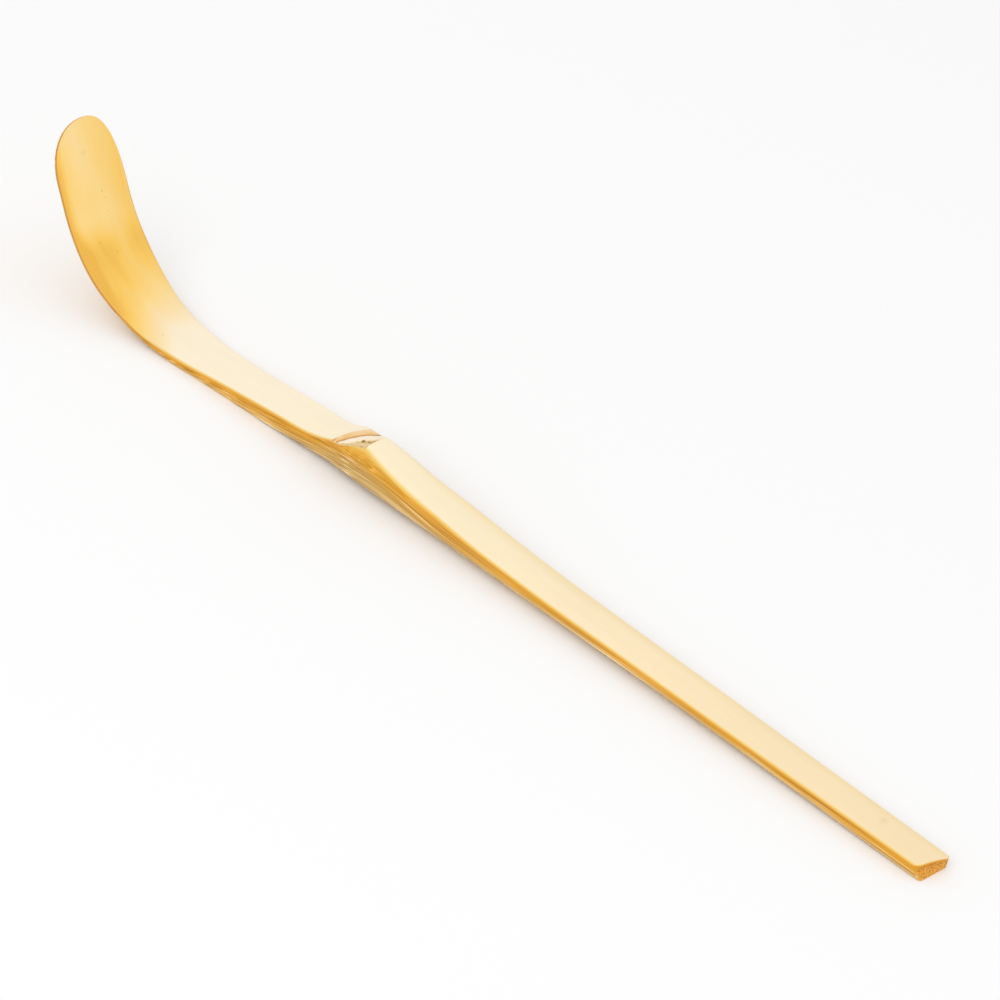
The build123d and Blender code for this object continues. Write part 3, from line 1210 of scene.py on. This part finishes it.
def pareRidge(u, t, f):
    y = t * halfWidth(nodeRidge["widthPlace"])
    start = ringLine("scarLine", y)
    end = ringLine("ridgeLine", y)
    s = start + u * (end - start)
    top = nodeRidge["foot"] * (1 - u) ** 3 - nodeRidge["crest"] * sin(pi * u)
    depth = top + f * (ringFloor(s) - top)
    lowLine = nodeRidge["lowTone"] * exp(-(((s - start) / nodeRidge["lowWidth"]) ** 2))
    highLine = nodeRidge["highTone"] * exp(-(((end - s) / nodeRidge["highWidth"]) ** 2))
    place, across, radius = nodeRidge["spot"]
    spot = nodeRidge["spotTone"] * exp(-((hypot(s - nodeAlong - place, y - across) / radius) ** 2))
    strength, frequency, seed = nodeRidge["patchRag"]
    # the lower slope of the welt is darkened by painted shade
    patch = nodeRidge["patchTone"] + nodeRidge["lowerSlopeShade"] * (1 - u) ** 2
    patch += strength * noise.noise((s, y * frequency, seed))
    shade = max(patch, lowLine, highLine, spot)
    return s, t * sideAt(s, depth), depth, min(1.0, max(0.0, shade))


shapePiece("nodeRidge", nodeRidge, pareRidge, ridgeSkin)

# Stub of the partition, across the back of the node
partition = {
    "node": "node_partition",
    "slot": "partition",
    "cuts": (7, 31, 7),
    "length": 1.4,
    "depth": 0.6,
    "proud": 0.04,
    "sideGap": 0.1,
    "inset": 0.12,
    "tone": 0.45,
    "grit": 0.5,
    "gritFrequency": (3.0, 2.0),
}


def parePartition(u, t, f):
    s = nodeAlong + ring["join"] + u * partition["length"]
    x, _, _ = along(faceLine, s)
    y = t * (halfWidth(x) - partition["sideGap"])
    bottom = thickness(s) - crownDrop(x, y)
    depth = bottom - partition["depth"] * (1 - f) + partition["proud"] * f
    gritAlong, gritAcross = partition["gritFrequency"]
    shade = partition["tone"] + partition["grit"] * noise.noise((s * gritAlong, y * gritAcross, 0.0))
    return s, t * (sideAt(s, min(depth, bottom)) - partition["inset"]), depth, shade


shapePiece("nodePartition", partition, parePartition, pith)

# Camera: the photograph's view of the strip, for a square picture 1000 pixels wide
view = {
    "place": (-276.089, 282.676, 279.298),
    "azimuth": 221.714,
    "elevation": 35.336,
    "roll": 7.2386,
    "focalPixels": 3430.0,
    "pictureWidth": 1000.0,
    "sensorWidth": 36.0,
    "clipStart": 10.0,
}
camera = bpy.data.objects.new("camera", bpy.data.cameras.new("camera"))
bpy.context.scene.collection.objects.link(camera)
azimuth = radians(view["azimuth"])
elevation = radians(view["elevation"])
back = Vector((sin(azimuth) * cos(elevation), -cos(azimuth) * cos(elevation), sin(elevation)))
level = (-back).to_track_quat("-Z", "Y")
camera.rotation_mode = "QUATERNION"
camera.rotation_quaternion = level @ Quaternion((0, 0, 1), radians(view["roll"]))
camera.location = Vector((nodeX, 0, 0)) + Vector(view["place"]) * mm
camera.data.sensor_width = view["sensorWidth"]
camera.data.lens = view["sensorWidth"] * view["focalPixels"] / view["pictureWidth"]
camera.data.clip_start = view["clipStart"] * mm
bpy.context.scene.camera = camera

# Studio: a pale paper floor, an even white surround and one broad soft lamp above the near side, in metres
# and watts
studio = {
    "floorSize": 3.0,
    "floorColour": "#fdfdfd",
    "floorRoughness": 0.9,
    "surroundColour": "#ffffff",
    "surround": 0.88,
    "lampSize": 0.7,
    "lampPlace": (-0.1, 0.6, 0.7),
    "lampPower": 1.6,
}
floorGrid = bmesh.new()
bmesh.ops.create_grid(floorGrid, x_segments=1, y_segments=1, size=studio["floorSize"] / 2)
floorMesh = bpy.data.meshes.new("floor")
floorGrid.to_mesh(floorMesh)
floorGrid.free()
floor = bpy.data.objects.new("floor", floorMesh)
bpy.context.scene.collection.objects.link(floor)
floorPaper, floorShader = newMaterial("floorPaper")
floorShader.inputs["Base Color"].default_value = hexColour(studio["floorColour"])
floorShader.inputs["Roughness"].default_value = studio["floorRoughness"]
floorMesh.materials.append(floorPaper)

world = bpy.data.worlds.new("surround")
world.use_nodes = True
backdrop = world.node_tree.nodes["Background"]
backdrop.inputs["Color"].default_value = hexColour(studio["surroundColour"])
backdrop.inputs["Strength"].default_value = studio["surround"]
bpy.context.scene.world = world

lamp = bpy.data.objects.new("lamp", bpy.data.lights.new("lamp", "AREA"))
lamp.data.size = studio["lampSize"]
lamp.data.energy = studio["lampPower"]
lamp.location = studio["lampPlace"]
lamp.rotation_mode = "QUATERNION"
lamp.rotation_quaternion = (-lamp.location).to_track_quat("-Z", "Y")
bpy.context.scene.collection.objects.link(lamp)
bpy.context.scene.view_settings.view_transform = "Standard"
print("camera, floor and lamp placed")
